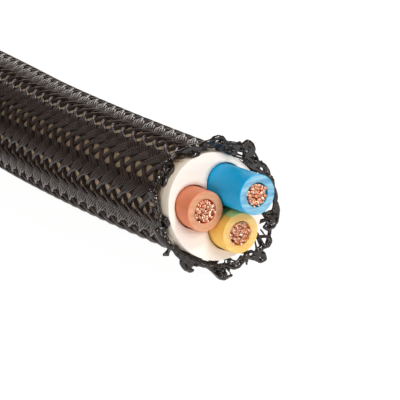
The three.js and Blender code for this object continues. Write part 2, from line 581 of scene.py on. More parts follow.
# The sleeve's melted edge: clock angle from +Y towards +Z, millimetres from the centre line,
# and millimetres back from the middle of the jacket's face (negative is ahead of it)
EDGE = (
    (90, 5.4, 0.85),
    (100, 5.25, 1.1),
    (108, 5.2, 1.6),
    (118, 5.15, 2.7),
    (128, 5.2, 2.5),
    (140, 5.35, 2.1),
    (151, 5.3, 2.1),
    (165, 5.25, 2.0),
    (180, 5.15, 1.4),
    (200, 5.2, 0.9),
    (216, 5.35, 0.6),
    (230, 5.4, 0.3),
    (243, 5.35, 0.2),
    (255, 5.35, 0.1),
    (270, 5.42, -0.1),
    (285, 5.7, -0.3),
    (298, 5.95, -0.3),
    (312, 6.5, -0.4),
    (326, 6.5, -0.3),
    (339, 6.35, -0.1),
    (350, 6.4, 0.0),
    (360, 6.3, 0.0),
    (372, 6.2, 0.1),
    (384, 6.1, 0.2),
    (398, 5.7, 0.2),
    (410, 6.0, 0.3),
    (420, 5.85, 0.4),
    (435, 5.6, 0.6),
    (450, 5.4, 0.85),
)
EDGE_BACK = (-1.0, 3.0)
EDGE_RADIUS = (4.0, 7.0)


def braid_tree():
    """Strands that wind round the route, each over two and under two of the other hand."""
    tree, given = new_tree("crossing strands", BRAID_INPUTS)
    carriers, filaments, hand, middle_radius, height, seed = (
        given[name] for name in ("Carriers", "Filaments", "Hand", "Middle radius", "Height", "Seed")
    )
    per_hand = add(tree, "MULTIPLY", carriers, filaments)
    lines, strand, u = numbered_lines(tree, per_hand, given["Points"])

    ratio = add(tree, "DIVIDE", strand, filaments)
    carrier = add(tree, "FLOOR", ratio)
    first = add(tree, "MULTIPLY", carrier, filaments)
    number = add(tree, "SUBTRACT", strand, first)
    last = add(tree, "SUBTRACT", filaments, 1.0)
    half = add(tree, "MULTIPLY", last, 0.5)
    offset = add(tree, "SUBTRACT", number, half)

    rate = add(tree, "DIVIDE", FULL_TURN, given["Lead"])
    turning = add(tree, "MULTIPLY", rate, hand)
    step = add(tree, "DIVIDE", FULL_TURN, carriers)
    begun = add(tree, "MULTIPLY_ADD", carrier, step, given["Start angle"])
    slope = add(tree, "MULTIPLY", rate, middle_radius)
    squared = add(tree, "MULTIPLY_ADD", slope, slope, 1.0)
    stretch = add(tree, "SQRT", squared)
    arc_pitch = add(tree, "MULTIPLY", given["Filament pitch"], stretch)
    pitch = add(tree, "DIVIDE", arc_pitch, middle_radius)
    spread = add(tree, "MULTIPLY", offset, pitch)

    # Each strand begins at the sleeve's uneven edge
    near = add(tree, "MULTIPLY_ADD", turning, MM, begun)
    nearer = add(tree, "ADD", near, spread)
    turns = add(tree, "DIVIDE", nearer, FULL_TURN)
    place = add(tree, "FRACT", turns)
    positive = add(tree, "WRAP", place, 1.0, 0.0)
    by_angle = []
    for column, (low, high) in ((2, EDGE_BACK), (1, EDGE_RADIUS)):
        curve = add(tree, "ShaderNodeFloatCurve", {"Value": positive})
        points = curve.mapping.curves[0].points
        for i, row in enumerate(EDGE):
            spot = ((row[0] - 90) / 360, (row[column] - low) / (high - low))
            point = points[i] if i < 2 else points.new(*spot)
            point.location = spot
        curve.mapping.update()
        scaled = add(tree, "MULTIPLY_ADD", curve, (high - low) * MM, low * MM)
        by_angle.append(scaled)
    edge, opening = by_angle
    uneven = add(tree, "FunctionNodeRandomValue", -UNEVEN_CUT, UNEVEN_CUT, strand, seed, data_type="FLOAT")
    cut = add(tree, "ADD", edge, uneven)
    wants_edge = add(tree, "LESS_THAN", given["From"], AT_EDGE)
    start = add(tree, "MULTIPLY_ADD", cut, wants_edge, given["From"])
    reach = add(tree, "SUBTRACT", given["To"], start)
    s = add(tree, "MULTIPLY_ADD", reach, u, start)

    middle = add(tree, "MULTIPLY_ADD", turning, s, begun)
    by_strand = add(tree, "MULTIPLY", strand, JUMBLE_STEPS[0])
    by_length = add(tree, "MULTIPLY", s, JUMBLE_STEPS[1])
    jumble_at = add(tree, "ShaderNodeCombineXYZ", by_strand, by_length, seed)
    jumble = add(tree, "ShaderNodeTexNoise", {"Vector": jumble_at, "Scale": 1.0, "Detail": 1.0})
    apart = add(tree, VECTOR, jumble.outputs["Color"], (0.5, 0.5, 0.5), operation="SUBTRACT")
    shaken = add(tree, VECTOR, apart, given["Disorder"], operation="SCALE")
    shift = add(tree, "ShaderNodeSeparateXYZ", shaken)
    sideways = add(tree, "DIVIDE", shift.outputs[0], middle_radius)

    # The last millimetres open out to the melted edge, and where they open wide filaments draw into strings
    back = add(tree, "SUBTRACT", s, start)
    fading = add(tree, "MULTIPLY", back, FLARE_FADE)
    near_edge = add(tree, "EXPONENT", fading)
    flare = add(tree, "SUBTRACT", opening, middle_radius)
    opened = add(tree, "MULTIPLY", flare, near_edge)
    drawn_in = {"Value": opened, "From Max": WIDE_OPEN, "To Min": 1.0, "To Max": STRING_WIDTH}
    wide = add(tree, "ShaderNodeMapRange", drawn_in)

    # Over and under: which hand is on top goes by the angle round the cable
    between = add(tree, "MULTIPLY_ADD", spread, 0.5, middle)
    from_gap = add(tree, "SUBTRACT", between, given["Crossing angle"])
    crossings = add(tree, "MULTIPLY", carriers, 0.5)
    phase = add(tree, "MULTIPLY", from_gap, crossings)
    wave = add(tree, "SINE", phase)
    # Ribbons are drawn together on every other crossing line, which leaves holes in pairs, and spread between
    swing = add(tree, "COSINE", phase)
    sharp = add(tree, "MULTIPLY", swing, DRAW_SHARPNESS)
    sudden = add(tree, "TANH", sharp)
    dive = add(tree, "MULTIPLY_ADD", sudden, DRAW_SCALE, 0.5)
    drawn = add(tree, "MULTIPLY", dive, given["Pinch"])
    width = add(tree, "SUBTRACT", 1.0, drawn)
    strung = add(tree, "MULTIPLY", width, wide)
    spread_out = add(tree, "MULTIPLY_ADD", spread, strung, sideways)
    angle = add(tree, "ADD", middle, spread_out)
    odd = add(tree, "MODULO", number, 2.0)
    above_or_below = add(tree, "SUBTRACT", odd, 0.5)
    piled = add(tree, "MULTIPLY", above_or_below, drawn)
    pile = add(tree, "MULTIPLY", piled, PILE_HEIGHT)
    steep = add(tree, "MULTIPLY", wave, WEAVE_SHARPNESS)
    square = add(tree, "TANH", steep)
    inwards = add(tree, "MULTIPLY", square, hand)
    outwards = add(tree, "MULTIPLY", inwards, -1.0)
    side_share = add(tree, "MULTIPLY", offset, offset)
    half_squared = add(tree, "MULTIPLY_ADD", half, half, NEVER_ZERO)
    edge_share = add(tree, "DIVIDE", side_share, half_squared)
    inner_share = add(tree, "SUBTRACT", 1.0, edge_share)
    crown = add(tree, "MULTIPLY_ADD", inner_share, given["Crown"], given["Wave"])
    lift = add(tree, "MULTIPLY_ADD", outwards, crown, middle_radius)
    stacked = add(tree, "ADD", lift, pile)
    lifted = add(tree, "ADD", stacked, shift.outputs[1])
    radius = add(tree, "MULTIPLY_ADD", opened, given["Flare"], lifted)

    # Nothing goes below the floor
    centre, side, up = along_route(tree, given, s)
    cosine = add(tree, "COSINE", angle)
    sine = add(tree, "SINE", angle)
    minus_sine = add(tree, "MULTIPLY", sine, -1.0)
    up_part = add(tree, VECTOR, up, cosine, operation="SCALE")
    side_part = add(tree, VECTOR, side, minus_sine, operation="SCALE")
    radial = add(tree, VECTOR, up_part, side_part, operation="ADD")
    out = add(tree, VECTOR, radial, radius, operation="SCALE")
    position = add(tree, VECTOR, centre, out, operation="ADD")
    split = add(tree, "ShaderNodeSeparateXYZ", position)
    half_height = add(tree, "MULTIPLY", height, 0.5)
    above = add(tree, "MAXIMUM", split.outputs[2], half_height)
    resting = add(tree, "ShaderNodeCombineXYZ", split.outputs[0], split.outputs[1], above)
    wound = add(tree, "GeometryNodeSetPosition", {"Geometry": lines, "Position": resting})
    facing = add(tree, "GeometryNodeSetCurveNormal", {"Curve": wound, "Normal": radial}, mode="FREE")
    one_ribbon = add(tree, "LESS_THAN", filaments, 1.5)
    narrowing = add(tree, "MULTIPLY", drawn, one_ribbon)
    thickness = add(tree, "SUBTRACT", 1.0, narrowing)

    # The section carries how far across the ribbon each of its corners lies
    profile = add(tree, "GeometryNodeCurvePrimitiveCircle", {"Resolution": given["Sides"], "Radius": 0.5})
    flat = add(tree, "ShaderNodeCombineXYZ", height, given["Width"], 1.0)
    shaped = add(tree, "GeometryNodeTransform", {"Geometry": profile, "Scale": flat})
    corner = add(tree, "ShaderNodeSeparateXYZ", add(tree, "GeometryNodeInputPosition"))
    half_width = add(tree, "MULTIPLY", given["Width"], CORNER_REACH)
    across = add(tree, "DIVIDE", corner.outputs[1], half_width)
    stored = {"Geometry": shaped, "Name": "across", "Value": across}
    marked = add(tree, "GeometryNodeStoreNamedAttribute", stored, data_type="FLOAT", domain="POINT")
    swept = {"Curve": facing, "Profile Curve": marked, "Scale": thickness, "Fill Caps": True}
    return finish_tree(tree, add(tree, "GeometryNodeCurveToMesh", swept), given["Material"])


STRAND_INPUTS = (
    ("Route", "Object", None),
    ("Strands", "Int", 56),
    ("Points", "Int", 14),
    ("From", "Float", 0.0),
    ("To", "Float", 0.01),
    ("Centre side", "Float", 0.0),
    ("Centre up", "Float", 0.0),
    ("Bundle radius", "Float", 0.00105),
    ("Strand radius", "Float", 0.00013),
    ("Lay", "Float", 0.03),
    ("Uneven", "Float", 0.0002),
    ("Seed", "Int", 1),
    ("Material", "Material", None),
)
GOLDEN_ANGLE = 2.399963
END_LEAN = 0.00012
LEAN_SHARPNESS = 6.0
LEAN_SEED = 7


def copper_tree():
    """A bundle of fine wires, packed evenly and laid in a slow twist, their ends a little uneven."""
    tree, given = new_tree("copper strands", STRAND_INPUTS)
    lines, strand, u = numbered_lines(tree, given["Strands"], given["Points"])
    uneven = add(tree, "FunctionNodeRandomValue", -1.0, 1.0, strand, given["Seed"], data_type="FLOAT")
    start = add(tree, "MULTIPLY_ADD", uneven, given["Uneven"], given["From"])
    reach = add(tree, "SUBTRACT", given["To"], start)
    s = add(tree, "MULTIPLY_ADD", reach, u, start)

    share = add(tree, "ADD", strand, 0.5)
    portion = add(tree, "DIVIDE", share, given["Strands"])
    root = add(tree, "SQRT", portion)
    room = add(tree, "SUBTRACT", given["Bundle radius"], given["Strand radius"])
    out = add(tree, "MULTIPLY", root, room)
    golden = add(tree, "MULTIPLY", strand, GOLDEN_ANGLE)
    rate = add(tree, "DIVIDE", FULL_TURN, given["Lay"])
    angle = add(tree, "MULTIPLY_ADD", s, rate, golden)

    # The last stretch of each wire leans its own way
    close = add(tree, "SUBTRACT", 1.0, u)
    closer = add(tree, "POWER", close, LEAN_SHARPNESS)
    ways = ((-1, -1, 0), (1, 1, 0), strand, LEAN_SEED)
    lean = add(tree, "FunctionNodeRandomValue", *ways, data_type="FLOAT_VECTOR")
    lean_parts = add(tree, "ShaderNodeSeparateXYZ", lean)
    lean_size = add(tree, "MULTIPLY", closer, END_LEAN)
    position, *directions = along_route(tree, given, s)
    for i, turn, middle in ((0, "COSINE", "Centre side"), (1, "SINE", "Centre up")):
        turned = add(tree, turn, angle)
        laid = add(tree, "MULTIPLY_ADD", out, turned, given[middle])
        leaning = add(tree, "MULTIPLY_ADD", lean_parts.outputs[i], lean_size, laid)
        aside = add(tree, VECTOR, directions[i], leaning, operation="SCALE")
        position = add(tree, VECTOR, position, aside, operation="ADD")

    laid = add(tree, "GeometryNodeSetPosition", {"Geometry": lines, "Position": position})
    section = {"Resolution": 8, "Radius": given["Strand radius"]}
    profile = add(tree, "GeometryNodeCurvePrimitiveCircle", section)
    swept = {"Curve": laid, "Profile Curve": profile, "Fill Caps": True}
    return finish_tree(tree, add(tree, "GeometryNodeCurveToMesh", swept), given["Material"])


def melt_tree():
    """Beads run together into one lumpy skin."""
    tree, given = new_tree("melted beads", (("Voxel", "Float", 0.000065), ("Material", "Material", None)))
    size = add(tree, "GeometryNodeInputNamedAttribute", {"Name": "size"}, data_type="FLOAT")
    points = add(tree, "GeometryNodeMeshToPoints", {"Mesh": given["Geometry"], "Radius": size})
    filled = {"Points": points, "Voxel Size": given["Voxel"], "Radius": size}
    volume = add(tree, "GeometryNodePointsToVolume", filled, resolution_mode="VOXEL_SIZE")
    skin = add(tree, "GeometryNodeVolumeToMesh", {"Volume": volume, "Threshold": 0.3})
    where = add(tree, "GeometryNodeInputPosition")
    evened = add(tree, "GeometryNodeBlurAttribute", where, 3, data_type="FLOAT_VECTOR")
    settled = add(tree, "GeometryNodeSetPosition", {"Geometry": skin, "Position": evened})
    return finish_tree(tree, settled, given["Material"])


class CableSizes(bpy.types.PropertyGroup):
    """Sizes of the cable inside the sleeve."""

    jacket_diameter: bpy.props.FloatProperty(
        name="Jacket diameter", description="Of the white jacket's outside", default=0.009398, unit="LENGTH"
    )
    core_diameter: bpy.props.FloatProperty(
        name="Core diameter", description="Of one core's insulation", default=0.00364, unit="LENGTH"
    )
    conductor_diameter: bpy.props.FloatProperty(
        name="Conductor diameter", description="Of one bundle of strands", default=0.0021, unit="LENGTH"
    )
    strand_diameter: bpy.props.FloatProperty(
        name="Strand diameter", description="Of one copper wire", default=0.00027, unit="LENGTH"
    )
    strands: bpy.props.IntProperty(
        name="Strands", description="Copper wires in one conductor", default=56, min=7
    )


class BraidSizes(bpy.types.PropertyGroup):
    """Sizes of the braided sleeve."""

    carriers: bpy.props.IntProperty(
        name="Carriers", description="Ribbons that wind one way", default=20, min=4
    )
    filaments: bpy.props.IntProperty(
        name="Filaments", description="Filaments side by side in one ribbon", default=5, min=1
    )
    filament_diameter: bpy.props.FloatProperty(
        name="Filament diameter", description="Of one filament", default=0.0002, unit="LENGTH"
    )
    lead: bpy.props.FloatProperty(
        name="Lead", description="Length of one turn of a ribbon", default=0.03706, unit="LENGTH"
    )
    detailed_length: bpy.props.FloatProperty(
        name="Detailed length",
        description="From the mouth back, where each filament is made by itself",
        default=0.052,
        unit="LENGTH",
    )


class Colours(bpy.types.PropertyGroup):
    """Colours that a user would change."""

    blue: bpy.props.StringProperty(name="Blue core", description="sRGB hex colour", default="#00a6dc")
    brown: bpy.props.StringProperty(name="Brown core", description="sRGB hex colour", default="#e08560")
    yellow: bpy.props.StringProperty(name="Yellow core", description="sRGB hex colour", default="#f6c35e")
    # The stripe's green is painted paler than its own, as painted light that makes up for the shade between
    # the cores
    green: bpy.props.StringProperty(name="Green stripe", description="sRGB hex colour", default="#cfe08c")


class StudioSettings(bpy.types.PropertyGroup):
    """Camera and light."""

    view_angle: bpy.props.FloatProperty(
        name="View angle",
        description="Angle between the cable and the level direction of view",
        default=math.radians(33.24),
        subtype="ANGLE",
    )
    elevation: bpy.props.FloatProperty(
        name="Elevation",
        description="Of the camera above the level",
        default=math.radians(15),
        subtype="ANGLE",
    )
    distance: bpy.props.FloatProperty(
        name="Distance", description="From the camera to the cut face", default=0.325, unit="LENGTH"
    )
    world_strength: bpy.props.FloatProperty(
        name="World", description="Strength of the white surroundings", default=0.14
    )
    key_strength: bpy.props.FloatProperty(
        name="Key light", description="Power of the main soft light", default=1.0, unit="POWER"
    )


PIXEL = 0.0878 * MM  # at the cut face
HALF_FRAME = 200  # in pixels
HALF_SENSOR = 18
FACE_SHIFT = (-15.7, -6.5)  # of the frame's middle from the face's middle, in pixels right and down
FLOOR_HALF = 3.0


def view_axes():
    """Right, up and forward, as the camera sees them."""
    view = bpy.context.scene.studio_settings
    psi, e = view.view_angle, view.elevation
    right = Vector((math.sin(psi), math.cos(psi), 0))
    forward = Vector((-math.cos(psi) * math.cos(e), math.sin(psi) * math.cos(e), -math.sin(e)))
    return right, right.cross(forward), forward


def aimed(name, data, place, direction):
    """A camera or a lamp at a place, looking in a direction."""
    thing = link(name, data)
    thing.location = place
    thing.rotation_mode = "QUATERNION"
    thing.rotation_quaternion = direction.to_track_quat("-Z", "Y")
    return thing


class SLEEVE_OT_studio(bpy.types.Operator):
    """Floor, camera and soft light"""

    bl_idname = "sleeve.studio"
    bl_label = "Studio"

    def execute(self, context):
        settings = context.scene.studio_settings
        paper = bpy.data.meshes.new("floor")
        corners = [(x * FLOOR_HALF, y * FLOOR_HALF, 0) for x, y in ((-1, -1), (1, -1), (1, 1), (-1, 1))]
        paper.from_pydata(corners, [], [(0, 1, 2, 3)])
        paper.materials.append(studio_floor())
        floor = link("floor", paper)

        right, up, forward = view_axes()
        target = ROUTE.face + right * FACE_SHIFT[0] * PIXEL - up * FACE_SHIFT[1] * PIXEL
        lens = bpy.data.cameras.new("camera")
        lens.sensor_width = 2 * HALF_SENSOR
        lens.lens = HALF_SENSOR / (HALF_FRAME * PIXEL / settings.distance)
        lens.clip_start = 0.01
        lens.clip_end = 10
        context.scene.camera = aimed("camera", lens, target - forward * settings.distance, forward)

        world = bpy.data.worlds.new("white surroundings")
        world.use_nodes = True
        background = world.node_tree.nodes["Background"]
        background.inputs["Color"].default_value = (1, 1, 1, 1)
        background.inputs["Strength"].default_value = settings.world_strength
        context.scene.world = world
        context.scene.view_settings.view_transform = "Standard"

        # Name, power, size and place from the face
        key = settings.key_strength
        lamps = (
            ("back light", key * 1.0, 0.36, right * -0.055 + up * 0.3 + forward * 0.47),
            ("top light", key * 0.95, 0.07, right * 0.2 + up * 0.36 - forward * 0.28),
            ("front light", key * 0.75, 0.17, right * 0.24 + up * 0.12 - forward * 0.33),
            ("side light", key * 0.6, 0.07, right * -0.25 + up * 0.15 - forward * 0.4),
        )
        for name, power, size, offset in lamps:
            lamp = bpy.data.lights.new(name, "AREA")
            lamp.energy = power
            lamp.size = size
            lamp.color = (1.0, 0.97, 0.94)
            aimed(name, lamp, ROUTE.face + offset, -offset)
        return {"FINISHED"}


def jacket_bore(count_per_core):
    """The bore's outline: an arc round each core, as the jacket was extruded over them."""
    radius = JACKET_BORE * MM
    half_spacing = CORE_CIRCLE * MM * math.sin(math.pi / 3)
    half_arc = math.pi / 2 + math.pi / 3 - math.acos(min(1, half_spacing / radius))
    outline = []
    for name in CORE_CLOCKS:
        y, z = core_centre(name)
        clock = math.radians(CORE_CLOCKS[name])
        for i in range(count_per_core):
            angle = clock - half_arc + 2 * half_arc * (i + 0.5) / count_per_core
            outline.append((y + radius * math.cos(angle), z + radius * math.sin(angle)))
    return outline


class SLEEVE_OT_jacket(bpy.types.Operator):
    """White jacket, extruded round the cores and cut across"""

    bl_idname = "sleeve.jacket"
    bl_label = "Jacket"

    def execute(self, context):
        radius = context.scene.cable_sizes.jacket_diameter / 2
        rounding = 0.08 * MM
        bore = jacket_bore(24)
        angles = [math.atan2(z, y) for y, z in bore]

        def outer(r):
            return [(r * math.cos(a), r * math.sin(a)) for a in angles]

        def on_face(points, back):
            return [(back - FACE_LEAN_Y * y - FACE_LEAN_Z * z, y, z) for y, z in points]

        def level(points, s):
            return [(s, y, z) for y, z in points]

        # The cut face and its rounded edge, the bare skin, the skin under the sleeve with its painted shade,
        # the far end, and the bore
        rings = []
        for share in (0.0, 0.3, 0.6, 0.9):
            pairs = zip(bore, outer(radius - rounding))
            mixed = [(b[0] + (o[0] - b[0]) * share, b[1] + (o[1] - b[1]) * share) for b, o in pairs]
            rings.append(on_face(mixed, 0))
        rings += [on_face(outer(r), back) for back, r in rounded(radius, rounding)]
        face_rings = len(rings)
        rings += [on_face(outer(radius), 0.4 * MM), level(outer(radius), 1.5 * MM)]
        bare_rings = len(rings)
        stops = long_stations(2.2 * MM, ROUTE.end)
        rings += [level(outer(radius), s) for s in stops + [ROUTE.end - 0.1 * MM]]
        rings += [level(outer(radius - 0.1 * MM), ROUTE.end), level(bore, ROUTE.end)]
        rings += [level(bore, s) for s in reversed(stops[::3])]
        rings.append(on_face(bore, 0.15 * MM))
        vertices, faces = closed_sweep(rings)
        jacket = mesh_piece("white_jacket", vertices, faces, jacket_vinyl(), ["cable_jacket"])
        ring_numbers = [i // len(bore) for i in range(len(vertices))]
        mark(jacket.data, "cut", [float(ring < face_rings) for ring in ring_numbers])
        # Painted shade: rings under the sleeve take the browner skin colour that stands for the sleeve's
        # shade on it
        mark(jacket.data, "covered", [float(ring >= bare_rings) for ring in ring_numbers])
        return {"FINISHED"}


class SLEEVE_OT_cores(bpy.types.Operator):
    """Insulation of the three cores, each cut off at its own length"""

    bl_idname = "sleeve.cores"
    bl_label = "Cores"

    def execute(self, context):
        sizes = context.scene.cable_sizes
        colours = context.scene.sleeve_colours
        finishes = {
            "blue": core_vinyl("light blue PVC", colours.blue, ("#4f97be", "#9bcde2")),
            "brown": core_vinyl("light brown PVC", colours.brown, ("#cc8f6a", "#dda784")),
            "green_yellow": core_vinyl(
                "yellow PVC with a green stripe", colours.yellow, ("#f4bd68", "#fbd592"), colours.green
            ),
        }
        radius = sizes.core_diameter / 2
        bore = CORE_BORE * MM
        rounding = 0.06 * MM
        count = 40
        for name, finish in finishes.items():
            node = f"core_insulation_{name}"
            y0, z0, tip, lift = free_end(name, node)
            base = -FACE_LEAN_Y * y0 - FACE_LEAN_Z * z0
            # The cut face and its rounded edge, the side, the far end, and the bore
            rows = [(tip, bore + 0.02 * MM)]
            rows += [(tip, bore + (radius - rounding - bore) * share) for share in (0.35, 0.7, 1.0)]
            face_rings = len(rows)
            rows += [(tip + back, r) for back, r in rounded(radius, rounding)[1:]]
            s = tip + 0.4 * MM
            while s < 4 * MM:
                rows.append((s, radius))
                s += 0.4 * MM
            stops = long_stations(5 * MM, ROUTE.end)
            rows += [(s, radius) for s in stops]
            far_rings = (len(rows), len(rows) + 1)
            rows += [(ROUTE.end, radius), (ROUTE.end, bore)]
            rows += [(s, bore) for s in reversed(stops[::3])]
            rows += [(tip + 1.5 * MM, bore), (tip + 0.05 * MM, bore)]
            rings = []
            for s, r in rows:
                rise = lift * max(0.0, min(1.0, (base - s) / (base - tip)))
                rings.append([(s, y, z + rise) for y, z in circle(r, (y0, z0), count)])
            vertices, faces = closed_sweep(rings)
            piece = mesh_piece(f"insulation_{name}", vertices, faces, finish, [node])
            cut = [float(i < face_rings or i in far_rings) for i in range(len(rings)) for _ in range(count)]
            turned = [math.degrees(FULL_TURN * j / count) for j in range(count)]
            mark(piece.data, "cut", cut)
            mark(piece.data, "stripe", [float(STRIPE[0] <= t <= STRIPE[1]) for t in turned] * len(rings))
        return {"FINISHED"}


class SLEEVE_OT_conductors(bpy.types.Operator):
    """Copper strands of the three cores"""

    bl_idname = "sleeve.conductors"
    bl_label = "Conductors"

    def execute(self, context):
        sizes = context.scene.cable_sizes
        tree = copper_tree()
        finish = copper()
        for seed, name in enumerate(CORE_CLOCKS, 1):
            node = f"conductor_{name}"
            y0, z0, tip, lift = free_end(name, node)
            bundles = (
                (tip + 0.02 * MM, tip + 8 * MM, lift, 0.12 * MM),
                (ROUTE.end - 0.02 * MM, ROUTE.end - 9 * MM, 0.0, 0.05 * MM),
            )
            vertices, faces = [], []
            for start, stop, rise, uneven in bundles:
                values = {
                    "Route": bpy.data.objects["route"],
                    "Strands": sizes.strands,
                    "From": start,
                    "To": stop,
                    "Centre side": y0,
                    "Centre up": z0 + rise,
                    "Bundle radius": sizes.conductor_diameter / 2 + 0.1 * MM,
                    "Strand radius": sizes.strand_diameter / 2,
                    "Uneven": uneven,
                    "Seed": seed,
                    "Material": finish,
                }
                mesh = grow(tree, values)
                first = len(vertices)
                vertices += [v.co.copy() for v in mesh.vertices]
                faces += [tuple(first + i for i in face.vertices) for face in mesh.polygons]
                bpy.data.meshes.remove(mesh)
            # A plain rod joins them, half a millimetre into this end's strands and one into the far end's
            first = len(vertices)
            count = 16
            for s in long_stations(tip + 7.5 * MM, ROUTE.end - 8 * MM) + [ROUTE.end - 8 * MM]:
                vertices += [ROUTE.place(s, y, z) for y, z in circle(ROD_RADIUS * MM, (y0, z0), count)]
            last = len(vertices) - count
            for here in range(first, last, count):
                faces += band(here, here + count, count)
            faces.append(tuple(range(first, first + count)))
            faces.append(tuple(reversed(range(last, last + count))))
            mesh_piece(f"strands_{name}", vertices, faces, finish, [node])
        return {"FINISHED"}


def hand_values(context, hand):
    """Tree inputs that the fine and the coarse braid share."""
    braid = context.scene.braid_sizes
    rate = FULL_TURN / braid.lead
    return {
        "Route": bpy.data.objects["route"],
        "Carriers": braid.carriers,
        "Hand": float(hand),
        "Lead": braid.lead,
        "Start angle": math.radians(START_CLOCK) - hand * rate * START_BACK,
        "Crossing angle": math.radians(CROSSING_CLOCK),
        "Seed": 3 if hand > 0 else 4,
    }


class SLEEVE_OT_braid(bpy.types.Operator):
    """Braided ribbons of monofilament, one piece for each way that they wind"""

    bl_idname = "sleeve.braid"
    bl_label = "Braid"

    def execute(self, context):
        braid = context.scene.braid_sizes
        tree = braid_tree()
        fine, coarse = monofilament(), ribbon_finish()
        for hand, word in ((1, "right"), (-1, "left")):
            shared = hand_values(context, hand)
            near = {
                **shared,
                "Filaments": braid.filaments,
                "To": braid.detailed_length,
                "Width": braid.filament_diameter,
                "Material": fine,
            }
            settle(f"filaments_{word}_hand", grow(tree, near), ["braided_sleeve"])
            # Beyond them each ribbon is one band, with six points between two crossings
            rest = ROUTE.end - braid.detailed_length
            far = {
                **shared,
                "Filaments": 1,
                "Points": round(rest / (braid.lead / 10) * 6),
                "From": braid.detailed_length - 0.0005,
                "To": ROUTE.end,
                "Width": 0.00115,
                "Height": 0.00024,
                "Pinch": 0.55,
                "Flare": 0.0,
                "Disorder": 0.00004,
                "Sides": 3,
                "Material": coarse,
            }
            settle(f"ribbons_{word}_hand", grow(tree, far))
        return {"FINISHED"}


